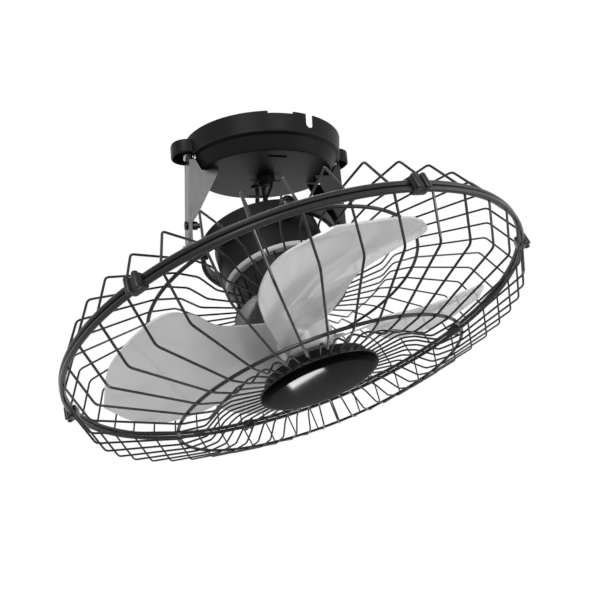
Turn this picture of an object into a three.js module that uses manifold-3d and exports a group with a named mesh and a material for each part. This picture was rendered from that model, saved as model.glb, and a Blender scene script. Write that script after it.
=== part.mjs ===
// Orbital ceiling fan: a cup canopy with a pair of channel arms, a gimbal ring between the arms,
// and a fan head inside the gimbal that a crank leads round in a cone.
// Millimetres, +Z up. The origin is the middle of the ceiling face; the arms hang along X.

import * as THREE from 'three';
import { mergeVertices } from 'three/addons/utils/BufferGeometryUtils.js';
import { ParametricGeometry } from 'three/addons/geometries/ParametricGeometry.js';
import Module from 'manifold-3d';

const wasm = await Module();
wasm.setup();

// ---------------------------------------------------------------- driving dimensions

const gap = 0.3;                 // clearance between neighbouring pieces
const degree = Math.PI / 180;

// ceiling plate and cross bar
const plateRadius = 70;
const plateThickness = 3;
const barThickness = 3;
const barWidth = 33;
const barTabDepth = 19;          // how far the turned-down ends reach below the bar

// canopy
const canopyRimRadius = 95.6;
const canopyStepRadius = 92.5;
const canopyStepDepth = 23;
const canopyNeckRadius = 89;
const canopyFloorRadius = 81.4;
const canopyDepth = 38.8;
const canopyWall = 2;
const canopyRimDrop = 1;         // the rim stays this far below the ceiling
const earReach = 112;
const earWidth = 44;
const earTop = -5;
const earBottom = -20.5;
const earWall = 2;
const cordX = 0;                 // hole for the supply cord in the canopy's floor
const cordY = 38;

// arms
const armTopX = 95;              // outer face of the web beside the canopy
const armFootX = 101;            // outer face of the web at the pivot
const armSheet = 2.5;
const armTopZ = -8;
const armHalfWidth = 18;
const tongueHalfWidth = 16.5;
const footHalfWidth = 13;
const flangeInnerX = 61;         // deepest point of the tapering flanges
const flangeTopZ = -39.8;
const flangeNeckZ = -92;

// swing centre, where both gimbal axes cross
const swingBack = 7;
const swingDrop = 130;
const tiltAboutArms = -23.74;    // rest tilt of the gimbal about X, degrees
const tiltAcrossArms = -6.47;    // rest tilt of the head about the gimbal's Y, degrees
const swingCone = 24.6;          // half angle of the orbit, degrees

// centre stem and swivel
const stemRadius = 6;
const stemBore = 4.1;
const nutAcrossFlats = 21;
const nutHeight = 7.5;
const ballHeight = 60;           // ball of the swivel post above the swing centre
const ballRadius = 5;

// gimbal ring
const gimbalOuter = 84.5;
const gimbalInner = 79;
const gimbalHalfHeight = 8;
const bossRadius = 10;
const bossInner = gimbalInner - 2;
const bossOuter = gimbalOuter + 1.5;

// pivots
const pivotRadius = 4;
const bushRadius = 7;
const bushFlangeRadius = 10;

// fan head, heights along its own axis: + to the rear, - to the front
const motorRadius = 66;
const motorWall = 4;
const motorRear = 9;
const motorFront = -36;
const rearCoverTop = 30.5;
const rearCoverTopRadius = 57;
const frontCoverEnd = -80.5;
const frontCoverEndRadius = 57;
const collarRadius = 22;         // thread for the nut that holds the rear guard
const ringPlane = -131.2;        // plane of the two guard rims
const headTurn = 7.5;            // the head's own X from the blades' zero, degrees

// guards
const wireCount = 22;            // radial wires in each half
const rimSides = 44;             // facets of the guard rings
const wirePhase = 100.9;         // angle of one wire about the head's axis, degrees
const rimRadius = 250;
const rimWire = 3;
const guardWire = 1.3;
const midRingFront = 156;
const midRingRear = 160.9;
const hubRingFront = 66;

// propeller
const bladeCount = 4;
const hubRadius = 33;
const hubRear = 44;              // behind the ring plane
const hubFront = 16;             // ahead of the ring plane

// badge
const badgeRadius = 67.2;
const badgeHeight = 51;          // ahead of the ring plane

// crank
const crankReach = ballHeight * Math.sin(swingCone * degree);

// ---------------------------------------------------------------- materials

function paint(color, roughness, metalness) {
  return new THREE.MeshStandardMaterial({ color, roughness, metalness });
}

const blackPaint = () => paint(0x242424, 0.5, 0.3);
const greyPaint = () => paint(0x8f8f8f, 0.45, 0.3);
const blackPlastic = () => paint(0x161616, 0.35, 0);
const greyPlastic = () => paint(0xa6a6a6, 0.3, 0);
const steel = () => paint(0xb8b8b8, 0.35, 0.9);
const brass = () => paint(0xb08d4a, 0.35, 0.9);
const copper = () => paint(0xa8623a, 0.4, 0.8);
const rubber = () => paint(0x1a1a1a, 0.8, 0);

// ---------------------------------------------------------------- solids

function solid(geometry) {
  const bare = new THREE.BufferGeometry();
  bare.setAttribute('position', geometry.getAttribute('position'));
  if (geometry.index) bare.setIndex(geometry.index);
  const merged = mergeVertices(bare, 1e-4);
  const points = merged.getAttribute('position').array;
  const corners = [];
  const index = merged.index.array;
  for (let i = 0; i < index.length; i += 3) {
    const [a, b, c] = [index[i], index[i + 1], index[i + 2]];
    if (a !== b && b !== c && c !== a) corners.push(a, b, c);
  }
  if (enclosedVolume(points, corners) < 0) corners.reverse();
  const vertProperties = new Float32Array(points);
  const triVerts = new Uint32Array(corners);
  return new wasm.Manifold(new wasm.Mesh({ numProp: 3, vertProperties, triVerts }));
}

function enclosedVolume(points, corners) {
  const [a, b, c] = [new THREE.Vector3(), new THREE.Vector3(), new THREE.Vector3()];
  let volume = 0;
  for (let i = 0; i < corners.length; i += 3) {
    a.fromArray(points, corners[i] * 3);
    b.fromArray(points, corners[i + 1] * 3);
    c.fromArray(points, corners[i + 2] * 3);
    volume += a.dot(b.cross(c)) / 6;
  }
  return volume;
}

function surface(body) {
  const mesh = body.getMesh();
  const geometry = new THREE.BufferGeometry();
  geometry.setAttribute('position', new THREE.BufferAttribute(mesh.vertProperties, 3));
  geometry.setIndex(new THREE.BufferAttribute(mesh.triVerts, 1));
  geometry.computeVertexNormals();
  return geometry;
}

const join = (...bodies) => bodies.reduce((sum, body) => sum.add(body));
const cut = (body, ...tools) => tools.reduce((rest, tool) => rest.subtract(tool), body);

// a profile of [radius, height] pairs turned about Z
function turned(profile, sides = 28) {
  const points = profile.map(([radius, height]) => new THREE.Vector2(radius, height));
  return solid(new THREE.LatheGeometry(points, sides).rotateX(Math.PI / 2));
}

function tube(outer, inner, bottom, top, sides = 24) {
  return turned([[inner, bottom], [outer, bottom], [outer, top], [inner, top], [inner, bottom]], sides);
}

function turnedGeometry(radius, length, axis, sides) {
  const geometry = new THREE.CylinderGeometry(radius, radius, length, sides);
  if (axis === 'x') geometry.rotateZ(Math.PI / 2);
  if (axis === 'z') geometry.rotateX(Math.PI / 2);
  return geometry;
}

// a round bar whose middle is at [x, y, z]
function bar(radius, length, axis, [x, y, z], sides = 10) {
  return solid(turnedGeometry(radius, length, axis, sides).translate(x, y, z));
}

function box([sizeX, sizeY, sizeZ], [x, y, z]) {
  return solid(new THREE.BoxGeometry(sizeX, sizeY, sizeZ).translate(x, y, z));
}

// a flat outline in X and Y, thick along Z
function slab(outline, bottom, top) {
  const depth = top - bottom;
  const geometry = new THREE.ExtrudeGeometry(outline, { depth, bevelEnabled: false, curveSegments: 5 });
  return solid(geometry.translate(0, 0, bottom));
}

function polygon(points) {
  return new THREE.Shape(points.map(([x, y]) => new THREE.Vector2(x, y)));
}

function hexagon(acrossFlats) {
  const corner = acrossFlats / Math.sqrt(3);
  return polygon([0, 1, 2, 3, 4, 5].map((i) => [
    corner * Math.cos(60 * i * degree),
    corner * Math.sin(60 * i * degree),
  ]));
}

// ---------------------------------------------------------------- scene graph

const fan = new THREE.Group();
const gimbal = new THREE.Group();
gimbal.position.set(0, swingBack, -swingDrop);
gimbal.rotation.x = tiltAboutArms * degree;
const head = new THREE.Group();
head.rotation.y = tiltAcrossArms * degree;
fan.add(gimbal);
gimbal.add(head);

function place(parent, name, body, material) {
  const mesh = new THREE.Mesh(surface(body), material);
  mesh.name = name;
  parent.add(mesh);
}

// ---------------------------------------------------------------- ceiling plate and cross bar

const barTop = -plateThickness - gap;
const barBottom = barTop - barThickness;
const tabX = armTopX - armSheet - gap;
const barScrewX = 48;

function ceilingPlate() {
  const holes = [45, 135, 225, 315].map((angle) => bar(2.6, 10, 'z', [
    56 * Math.cos(angle * degree), 56 * Math.sin(angle * degree), 0]));
  const screwHoles = [-barScrewX, barScrewX].map((x) => bar(3 + gap, 10, 'z', [x, 0, 0]));
  const cableHole = bar(8, 10, 'z', [0, 36, 0]);
  return cut(turned([[0, -plateThickness], [plateRadius, -plateThickness], [plateRadius, 0], [0, 0]], 32),
    ...holes, ...screwHoles, cableHole);
}

function crossBar() {
  const strap = box([2 * tabX, barWidth, barThickness], [0, 0, barTop - barThickness / 2]);
  const tabs = [-1, 1].map((side) => box([barThickness, 2 * tongueHalfWidth, barTabDepth], [
    side * (tabX - barThickness / 2), 0, barBottom - barTabDepth / 2 + 0.01]));
  const holes = [-barScrewX, barScrewX].map((x) => bar(3 + gap, 10, 'z', [x, 0, barTop]));
  const stemHole = bar(stemRadius + gap, 20, 'z', [0, 0, barTop], 16);
  const roundedEnds = bar(tabX + 0.2, 80, 'z', [0, 0, barTop], 64);
  return cut(join(strap, ...tabs).intersect(roundedEnds), ...holes, stemHole, ...armScrewHoles());
}

const armScrewZ = -16;

function armScrewHoles() {
  return [-1, 1].map((side) => bar(4 + gap, 20, 'x', [side * armTopX, 0, armScrewZ]));
}

function barScrew(x) {
  const headTop = barBottom - gap;
  const shank = bar(3, 8, 'z', [x, 0, headTop + 2], 12);
  const screwHead = bar(5, 4, 'z', [x, 0, headTop - 2], 16);
  return join(shank, screwHead);
}

place(fan, 'ceiling_plate', ceilingPlate(), steel());
place(fan, 'cross_bar', crossBar(), steel());
place(fan, 'bar_screw_left', barScrew(-barScrewX), steel());
place(fan, 'bar_screw_right', barScrew(barScrewX), steel());

// ---------------------------------------------------------------- canopy

function canopyCup() {
  return turned([
    [canopyRimRadius, -canopyRimDrop],
    [canopyStepRadius + 1, -canopyStepDepth + 1.5],
    [canopyStepRadius, -canopyStepDepth],
    [canopyNeckRadius, -canopyStepDepth - 1],
    [canopyFloorRadius + 0.6, -canopyDepth + 1.2],
    [canopyFloorRadius - 0.6, -canopyDepth],
    [0, -canopyDepth],
    [0, -canopyDepth + canopyWall],
    [canopyFloorRadius - canopyWall, -canopyDepth + canopyWall],
    [canopyNeckRadius - canopyWall, -canopyStepDepth + canopyWall - 1],
    [canopyRimRadius - canopyWall, -canopyRimDrop],
    [canopyRimRadius, -canopyRimDrop],
  ], 36);
}

function roundedEnd(reach, halfWidth, inner) {
  const outline = new THREE.Shape();
  const corner = halfWidth * 0.7;
  outline.moveTo(inner, -halfWidth);
  outline.lineTo(reach - corner, -halfWidth);
  outline.quadraticCurveTo(reach, -halfWidth, reach, -halfWidth + corner);
  outline.lineTo(reach, halfWidth - corner);
  outline.quadraticCurveTo(reach, halfWidth, reach - corner, halfWidth);
  outline.lineTo(inner, halfWidth);
  return outline;
}

function canopy() {
  const cup = canopyCup();
  const ear = slab(roundedEnd(earReach, earWidth / 2, 90), earBottom, earTop);
  const earHollow = slab(roundedEnd(earReach - earWall, earWidth / 2 - earWall, 84), -24, earTop - earWall);
  const neckSlot = box([24, 2 * tongueHalfWidth + 3, 30], [armTopX + 2, 0, -26]);
  const tabSlot = box([9, 2 * tongueHalfWidth + 1, 40], [tabX + 0.8 - 4.5, 0, -21]);
  const other = (body) => body.mirror([1, 0, 0]);
  const ears = [ear, other(ear)];
  const hollows = [earHollow, neckSlot, tabSlot].flatMap((body) => [body, other(body)]);
  const ventSlot = box([23, 6.5, 8], [-5.5, -64, -canopyDepth]);
  const stemHole = bar(stemRadius + gap, 10, 'z', [0, 0, -canopyDepth], 16);
  const cordHole = bar(5 + gap, 10, 'z', [cordX, cordY, -canopyDepth]);
  const keyhole = box([7, 20, 22], [26, -canopyRimRadius, 0]);
  const shallowNotch = box([28, 20, 6], [-8, -canopyRimRadius, 0]);
  return cut(join(cup, ...ears), ...hollows, ventSlot, stemHole, cordHole, keyhole, shallowNotch);
}

place(fan, 'canopy', canopy(), blackPaint());

// ---------------------------------------------------------------- arms

// outline of the web seen along X, in Y and Z
function armOutline(inset) {
  const foot = footHalfWidth - inset;
  const outline = new THREE.Shape();
  outline.moveTo(-tongueHalfWidth + inset, armTopZ);
  outline.lineTo(-tongueHalfWidth + inset, -26);
  outline.lineTo(-armHalfWidth + inset, -28);
  outline.lineTo(swingBack - foot, -swingDrop);
  outline.absarc(swingBack, -swingDrop, foot, Math.PI, 2 * Math.PI, false);
  outline.lineTo(armHalfWidth - inset, -28);
  outline.lineTo(tongueHalfWidth - inset, -26);
  outline.lineTo(tongueHalfWidth - inset, armTopZ);
  return outline;
}

// profile of one arm seen along Y: the web leans out and the flanges taper down
function armProfile(inset) {
  return polygon([
    [armTopX - inset, armTopZ + inset],
    [armTopX - inset, -30],
    [armFootX - inset, -swingDrop],
    [armFootX - inset, -swingDrop - 20],
    [armFootX - armSheet - 3, -swingDrop - 20],
    [armFootX - armSheet - 3.5, flangeNeckZ - 8],
    [flangeInnerX + 28, flangeNeckZ],
    [flangeInnerX, flangeTopZ],
    [canopyFloorRadius, flangeTopZ],
    [canopyNeckRadius + 0.2, -canopyStepDepth - 3],
    [armTopX - armSheet, -canopyStepDepth - 3],
    [armTopX - armSheet, armTopZ + inset],
  ]);
}

// extrudes an outline drawn in [x, z] along Y
function acrossY(outline, width) {
  return solid(new THREE.ExtrudeGeometry(outline, { depth: width, bevelEnabled: false, curveSegments: 5 })
    .translate(0, 0, -width / 2).rotateX(Math.PI / 2));
}

// extrudes an outline drawn in [y, z] along X
function acrossX(outline, from, to) {
  return solid(new THREE.ExtrudeGeometry(outline, { depth: to - from, bevelEnabled: false, curveSegments: 5 })
    .translate(0, 0, from).rotateY(Math.PI / 2).rotateX(Math.PI / 2));
}

function arm() {
  const channel = acrossX(armOutline(0), 40, 120).intersect(acrossY(armProfile(0), 80));
  const behindWeb = polygon([
    [20, 0],
    [armTopX - armSheet, 0],
    [armTopX - armSheet, -30],
    [armFootX - armSheet, -swingDrop],
    [armFootX - armSheet, -swingDrop - 30],
    [20, -swingDrop - 30],
  ]);
  const hollow = acrossX(armOutline(armSheet), 20, 130).intersect(acrossY(behindWeb, 80));
  const pivotHole = bar(pivotRadius + gap, 30, 'x', [armFootX, swingBack, -swingDrop]);
  const stopHole = bar(3 + gap, 30, 'x', [armFootX, stopY, stopZ]);
  return cut(channel, hollow, pivotHole, stopHole, ...armScrewHoles());
}

const stopY = 0;
const stopZ = -101;

function armScrew(side) {
  const shank = bar(4, 13, 'x', [armTopX - 3, 0, armScrewZ], 12);
  const screwHead = bar(7, 4, 'x', [armTopX + gap + 2, 0, armScrewZ], 16);
  const screw = join(shank, screwHead);
  return side < 0 ? screw.mirror([1, 0, 0]) : screw;
}

function stopScrew(side) {
  const face = webOuterX(stopZ);
  const shank = bar(3, 16, 'x', [face - 7, stopY, stopZ], 12);
  const screwHead = bar(5, 3, 'x', [face + gap + 1.5, stopY, stopZ], 6);
  const rubberEnd = bar(5, 6, 'x', [face - armSheet - 6, stopY, stopZ], 14);
  const screw = join(shank, screwHead, rubberEnd);
  return side < 0 ? screw.mirror([1, 0, 0]) : screw;
}

function webOuterX(z) {
  return THREE.MathUtils.mapLinear(z, -30, -swingDrop, armTopX, armFootX);
}

place(fan, 'arm_right', arm(), blackPaint());
place(fan, 'arm_left', arm().mirror([1, 0, 0]), blackPaint());
for (const [label, side] of [['left', -1], ['right', 1]]) {
  place(fan, `arm_screw_${label}`, armScrew(side), steel());
  place(fan, `stop_screw_${label}`, stopScrew(side), steel());
}

// ---------------------------------------------------------------- centre stem and swivel post

const nutTop = -canopyDepth - gap;
const nutBottom = nutTop - nutHeight;
const stemBottom = nutBottom - 2;
const ball = new THREE.Vector3(0, swingBack, ballHeight - swingDrop);

function stem() {
  const top = barTop - gap;
  const tubeBody = tube(stemRadius, stemBore, stemBottom, top, 16);
  const flange = tube(14, stemBore, barBottom - gap - 3, barBottom - gap, 16);
  return cut(join(tubeBody, flange), bar(1 + gap, 30, 'x', [0, 0, nutBottom + 3.5], 6));
}

function stemNut() {
  const body = slab(hexagon(nutAcrossFlats), nutBottom, nutTop);
  const skirt = tube(nutAcrossFlats / 2 - 1, stemRadius, nutBottom - 1.5, nutBottom + 1, 16);
  return cut(join(body, skirt), bar(stemRadius + gap, 30, 'z', [0, 0, nutTop], 16),
    bar(1 + gap, 60, 'x', [0, 0, nutBottom + 3.5], 6));
}

function swivelPost() {
  const plug = bar(stemBore - gap, 14, 'z', [0, 0, stemBottom + 5], 12);
  const collar = bar(9, 2.4, 'z', [0, 0, stemBottom - gap - 1.2], 16);
  const neckPoint = new THREE.Vector3(0, swingBack, ball.z + 5);
  const legs = [-150, -30, 90].map((angle) => {
    const side = new THREE.Vector3(Math.cos(angle * degree), Math.sin(angle * degree), 0);
    const top = side.clone().multiplyScalar(7).setZ(stemBottom - 1.6);
    const foot = neckPoint.clone().addScaledVector(side, 1.75);
    return straightBar(1.7, top, foot, 6);
  });
  const neck = bar(3.2, 7, 'z', [0, swingBack, ball.z + 6], 12);
  const tab = box([18, 5, 2], [-12, swingBack, ball.z + 8]);
  const knob = solid(new THREE.SphereGeometry(ballRadius, 10, 6).translate(ball.x, ball.y, ball.z));
  const pinHole = bar(1 + gap, 30, 'x', [0, 0, nutBottom + 3.5], 6);
  const link = bar(2.5, 5, 'z', [0, 0, stemBottom - 1], 12);
  return cut(join(plug, collar, link, ...legs, neck, tab, knob), pinHole);
}

// a straight round bar between two points
function straightBar(radius, from, to, sides) {
  const path = new THREE.LineCurve3(from, to);
  const ring = new THREE.Shape().absarc(0, 0, radius, 0, 2 * Math.PI, false);
  const section = polygon(ring.getSpacedPoints(sides).slice(0, -1).map((point) => [point.x, point.y]));
  return solid(new THREE.ExtrudeGeometry(section, { steps: 1, bevelEnabled: false, extrudePath: path }));
}

place(fan, 'stem', stem(), steel());
place(fan, 'stem_nut', stemNut(), blackPaint());
place(fan, 'cross_pin', bar(1, 40, 'x', [0, 0, nutBottom + 3.5], 6), blackPaint());
place(fan, 'swivel_post', swivelPost(), blackPaint());

// ---------------------------------------------------------------- wiring in the canopy

function terminalBlock() {
  const body = box([34, 13, 13], [0, -29, barTop - 6.5]);
  const ports = [-12, -4, 4, 12].map((x) => bar(1.8, 30, 'y', [x, -29, barTop - 9], 6));
  return cut(body, ...ports);
}

function canopyGrommet() {
  const top = -canopyDepth + canopyWall;
  const ring = join(
    tube(7.5, 3.2, -canopyDepth - gap - 2, -canopyDepth - gap, 12),
    tube(5, 3.2, -canopyDepth - gap - 1, top + gap + 1, 12),
    tube(7, 3.2, top + gap, top + gap + 1.6, 12),
  );
  return ring.translate([cordX, cordY, 0]);
}

place(fan, 'terminal_block', terminalBlock(), greyPlastic());
place(fan, 'capacitor', box([42, 20, 17], [0, -50, barTop - 8.5]), blackPlastic());
place(fan, 'cord_grommet', canopyGrommet(), rubber());

// ---------------------------------------------------------------- gimbal

const bushFlange = 1.8;
const pivotNutRadius = 7.5;

function gimbalRing() {
  const band = tube(gimbalOuter, gimbalInner, -gimbalHalfHeight, gimbalHalfHeight, 32);
  const bosses = ['x', 'y'].flatMap((axis) => [-1, 1].map((side) => {
    const middle = side * (bossInner + bossOuter) / 2;
    const centre = axis === 'x' ? [middle, 0, 0] : [0, middle, 0];
    return bar(bossRadius, bossOuter - bossInner, axis, centre, 12);
  }));
  const holes = ['x', 'y'].map((axis) => bar(bushRadius + gap, 240, axis, [0, 0, 0], 12));
  return cut(join(band, ...bosses), ...holes);
}

// a flanged sleeve that lines one pivot hole between two distances from the gimbal's middle
function bush(axis, side, start, end, flangeStart) {
  const bushBar = (radius, from, to) => {
    const middle = side * (from + to) / 2;
    return bar(radius, to - from, axis, axis === 'x' ? [middle, 0, 0] : [0, middle, 0], 12);
  };
  const sleeve = bushBar(bushRadius, start, end);
  const flange = bushBar(bushFlangeRadius, flangeStart, flangeStart + bushFlange);
  return cut(join(sleeve, flange), bushBar(pivotRadius + gap, start - 1, end + 1));
}

place(gimbal, 'gimbal_ring', gimbalRing(), blackPaint());
for (const [label, side] of [['left', -1], ['right', 1]]) {
  const flangeStart = bossOuter + gap;
  const sleeve = bush('x', side, bossInner, flangeStart + bushFlange, flangeStart);
  place(gimbal, `arm_bush_${label}`, sleeve, brass());
}
for (const [label, side] of [['near', -1], ['far', 1]]) {
  const flangeStart = bossInner - gap - bushFlange;
  const sleeve = bush('y', side, flangeStart, bossOuter + 1, flangeStart);
  place(gimbal, `head_bush_${label}`, sleeve, brass());
}

// bolt through each arm's foot, its plain end turning in the gimbal's bush
function armPivotBolt(side) {
  const headX = armFootX + gap;
  const shankStart = bossInner + gap;
  const length = headX + 1 - shankStart;
  const shank = bar(pivotRadius, length, 'x', [shankStart + length / 2, swingBack, -swingDrop]);
  const boltHead = bar(7, 4.5, 'x', [headX + 2.25, swingBack, -swingDrop], 6);
  const washer = bar(9, 1.2, 'x', [headX + 0.6, swingBack, -swingDrop], 16);
  const bolt = join(shank, boltHead, washer);
  return side < 0 ? bolt.mirror([1, 0, 0]) : bolt;
}

// nut that clamps the bolt to the arm's foot from inside
function armPivotNut(side) {
  const outerFace = webOuterX(pivotNutRadius - swingDrop) - armSheet - gap;
  const nut = cut(bar(pivotNutRadius, 5, 'x', [outerFace - 2.5, swingBack, -swingDrop], 6),
    bar(pivotRadius + gap, 20, 'x', [outerFace, swingBack, -swingDrop]));
  return side < 0 ? nut.mirror([1, 0, 0]) : nut;
}

for (const [label, side] of [['left', -1], ['right', 1]]) {
  place(fan, `pivot_bolt_${label}`, armPivotBolt(side), steel());
  place(fan, `pivot_nut_${label}`, armPivotNut(side), steel());
}

// ---------------------------------------------------------------- motor

const headBossEnd = bossInner - 2.7;
const motorCordY = 46.5;         // where the supply cord enters the rear cover
const bearingRadius = 11;
const rearBearingZ = 12;

function motorBody() {
  const shell = tube(motorRadius, motorRadius - motorWall, motorFront, motorRear, 32);
  const bosses = [-1, 1].map((side) => bar(9, headBossEnd - motorRadius + 4, 'y', [
    0, side * (headBossEnd + motorRadius - 4) / 2, 0], 14));
  const holes = bar(pivotRadius + gap, 200, 'y', [0, 0, 0]);
  return cut(join(shell, ...bosses), holes);
}

// bolt from outside the gimbal through a bush into the motor's boss
function headPivotBolt(side) {
  const start = motorRadius - motorWall;
  const headY = bossOuter + 1 + gap;
  const length = headY + 1 - start;
  const shank = bar(pivotRadius, length, 'y', [0, start + length / 2, 0]);
  const bolt = join(shank, bar(8.5, 4.5, 'y', [0, headY + 2.25, 0], 12));
  return side < 0 ? bolt.mirror([0, 1, 0]) : bolt;
}

function rearCover() {
  const bottom = motorRear + gap;
  const edge = rearCoverTop - 4;
  const shell = turned([
    [motorRadius, bottom],
    [motorRadius - 0.5, bottom + 4],
    [rearCoverTopRadius + 2.4, edge],
    [rearCoverTopRadius, rearCoverTop - 1],
    [rearCoverTopRadius - 3, rearCoverTop],
    [bearingRadius + gap, rearCoverTop],
    [bearingRadius + gap, rearBearingZ],
    [bearingRadius + 4, rearBearingZ],
    [bearingRadius + 4, rearCoverTop - 3],
    [rearCoverTopRadius - 4, rearCoverTop - 3],
    [motorRadius - 5, bottom + 3],
    [motorRadius - 5, bottom],
    [motorRadius, bottom],
  ], 28);
  const vents = [];
  for (let i = 0; i < 6; i += 1) {
    const slot = new THREE.BoxGeometry(10, 4, 20).translate(47.5, 0, rearCoverTop).rotateZ(60 * i * degree);
    vents.push(solid(slot));
  }
  return cut(shell, ...vents, bar(4 + gap, 20, 'z', [0, motorCordY, rearCoverTop]));
}

// the grey front bearing plate: an annulus cut into segments by short slots
function slottedRing() {
  const top = motorFront - gap;
  const seat = bearingRadius + gap;
  const plate = turned([
    [seat, top + 4], [seat, top - 8], [seat + 5, top - 8], [seat + 6, top - 3], [50, top - 3],
    [54, top - 5], [64.5, top - 5], [motorRadius, top - 3], [motorRadius, top], [seat + 5, top],
    [seat + 5, top + 4], [seat, top + 4],
  ], 24);
  const slots = [];
  for (let i = 0; i < 8; i += 1) {
    slots.push(solid(new THREE.BoxGeometry(9, 2.6, 20).translate(59, 0, top).rotateZ(45 * i * degree)));
  }
  return cut(plate, ...slots);
}

// ribbed drum between the motor and the propeller
function frontCover() {
  const top = motorFront - 5 - 2 * gap;
  const collar = collarRadius - gap;
  const drum = turned([
    [54, top], [58.5, top - 1.5], [57.5, -70], [frontCoverEndRadius - 2, frontCoverEnd],
    [collar, frontCoverEnd], [collar, frontCoverEnd - 6], [collar - 5, frontCoverEnd - 6],
    [collar - 5, frontCoverEnd + 3], [52, frontCoverEnd + 3], [51, top], [54, top],
  ], 24);
  const ribs = [];
  for (let i = 0; i < 8; i += 1) {
    ribs.push(box([3, 1.8, 36], [58, 0, top - 18.2]).rotate([0, 0, headTurn + 45 * i]));
  }
  return join(drum, ...ribs);
}

function statorCore() {
  const body = tube(motorRadius - motorWall - gap, 32, -16, 4, 28);
  const slots = [];
  for (let i = 0; i < 12; i += 1) {
    slots.push(solid(new THREE.BoxGeometry(16, 7, 40).translate(42, 0, -6).rotateZ((15 + 30 * i) * degree)));
  }
  return cut(body, ...slots);
}

const rotorRadius = 31;
const shaftRadius = 5;
const pinionRadius = 2.2;
const wheelRadius = 16.5;
const gearSpacing = pinionRadius + wheelRadius + gap;
const caseFloor = rearCoverTop + gap;
const pinionTop = caseFloor + 6.4;

function rotorCore() {
  return cut(turned([[0, -18], [rotorRadius - 0.4, -18], [rotorRadius - 0.4, 6], [0, 6]], 24),
    bar(shaftRadius + gap, 40, 'z', [0, 0, -6]));
}

function ballBearing(bottom) {
  return tube(bearingRadius, shaftRadius + gap, bottom, bottom + 8, 16);
}

// shaft with a pinion at its rear end and a shoulder behind the propeller
function shaft() {
  const rear = rearBearingZ + 9;
  const front = ringPlane - hubFront - 7;
  const rod = bar(shaftRadius, rear - front, 'z', [0, 0, (rear + front) / 2], 12);
  const pinion = bar(pinionRadius, pinionTop - rear + 2, 'z', [0, 0, (pinionTop + rear) / 2 - 1], 12);
  const shoulder = bar(9, 1.5, 'z', [0, 0, ringPlane + hubRear + gap + 0.75], 12);
  return join(rod, pinion, shoulder);
}

// both end turns, tied together by the bundles that lie in the core's slots
function winding() {
  const endTurns = [tube(56, 40, 4 + gap, 15, 28), tube(56, 40, -28, -16 - gap, 28)];
  const bundles = [];
  for (let i = 0; i < 12; i += 3) {
    bundles.push(solid(new THREE.BoxGeometry(7, 5, 24).translate(45, 0, -6).rotateZ((15 + 30 * i) * degree)));
  }
  return join(...endTurns, ...bundles);
}

place(head, 'motor_body', motorBody(), blackPaint());
place(head, 'rear_cover', rearCover(), blackPaint());
place(head, 'slotted_ring', slottedRing(), greyPaint());
place(head, 'front_cover', frontCover(), blackPlastic());
place(head, 'stator_core', statorCore(), steel());
place(head, 'winding', winding(), copper());
place(head, 'bearing_rear', ballBearing(rearBearingZ), steel());
place(head, 'bearing_front', ballBearing(motorFront - 6), steel());
place(head, 'rotor_core', rotorCore(), steel());
place(head, 'shaft', shaft(), steel());
place(head, 'head_pivot_bolt_near', headPivotBolt(-1), steel());
place(head, 'head_pivot_bolt_far', headPivotBolt(1), steel());

// ---------------------------------------------------------------- gearbox and crank

const caseRadius = 39;
const lidBottom = caseFloor + 11;
const lidTop = lidBottom + 2.5;
const armBottom = lidTop + 1;
const armTop = armBottom + 3;

function gearCase() {
  const cup = turned([
    [shaftRadius + 1, caseFloor], [caseRadius, caseFloor], [caseRadius, lidBottom - gap],
    [caseRadius - 2.4, lidBottom - gap], [caseRadius - 2.4, caseFloor + 2.2],
    [shaftRadius + 1, caseFloor + 2.2], [shaftRadius + 1, caseFloor],
  ], 28);
  return cut(cup, bar(1.5 + gap, 20, 'z', [gearSpacing, 0, caseFloor], 12));
}

function gearLid() {
  const lid = tube(caseRadius, 4 + gap, lidBottom, lidTop, 28);
  return cut(lid, bar(1.5 + gap, 20, 'z', [gearSpacing, 0, lidTop], 12));
}

// idler between the shaft's pinion and the crank's wheel
function layshaftGear() {
  const at = (z) => [gearSpacing, 0, z];
  const axle = bar(1.5, lidTop - caseFloor - 1, 'z', at((lidTop + caseFloor) / 2), 12);
  const wheel = bar(wheelRadius, 2.4, 'z', at(caseFloor + 4.5), 20);
  const pinion = bar(pinionRadius, 5, 'z', at(caseFloor + 8), 12);
  return join(axle, wheel, pinion);
}

function crankShaft() {
  const wheel = bar(wheelRadius, 2.6, 'z', [0, 0, caseFloor + 8.6], 20);
  const rodBottom = caseFloor + 7.4;
  const rod = bar(4, armTop + 3 - rodBottom, 'z', [0, 0, (armTop + 3 + rodBottom) / 2]);
  return join(wheel, rod);
}

// direction of the swivel ball seen from the head's axis at rest
const crankAngle = Math.atan2(
  Math.sin(tiltAboutArms * degree),
  -Math.sin(tiltAcrossArms * degree) * Math.cos(tiltAboutArms * degree),
);

// flat arm with a small dish under the swivel ball
function crankArm() {
  const outline = new THREE.Shape();
  outline.absarc(0, 0, 9, Math.PI / 2, 1.5 * Math.PI, false);
  outline.absarc(crankReach - 1.5, 0, 5, -Math.PI / 2, Math.PI / 2, false);
  const strip = slab(outline, armBottom, armTop).rotate([0, 0, crankAngle / degree]);
  const centre = [crankReach * Math.cos(crankAngle), crankReach * Math.sin(crankAngle)];
  const dish = bar(2.5, 2, 'z', [...centre, armTop], 16);
  return cut(strip, dish, bar(4 + gap, 30, 'z', [0, 0, armTop]));
}

function motorGrommet() {
  const ring = join(
    tube(6.5, 2.9, rearCoverTop + gap, rearCoverTop + gap + 2, 12),
    tube(4, 2.9, rearCoverTop - 5, rearCoverTop + gap + 1, 12),
  );
  return ring.translate([0, motorCordY, 0]);
}

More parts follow.
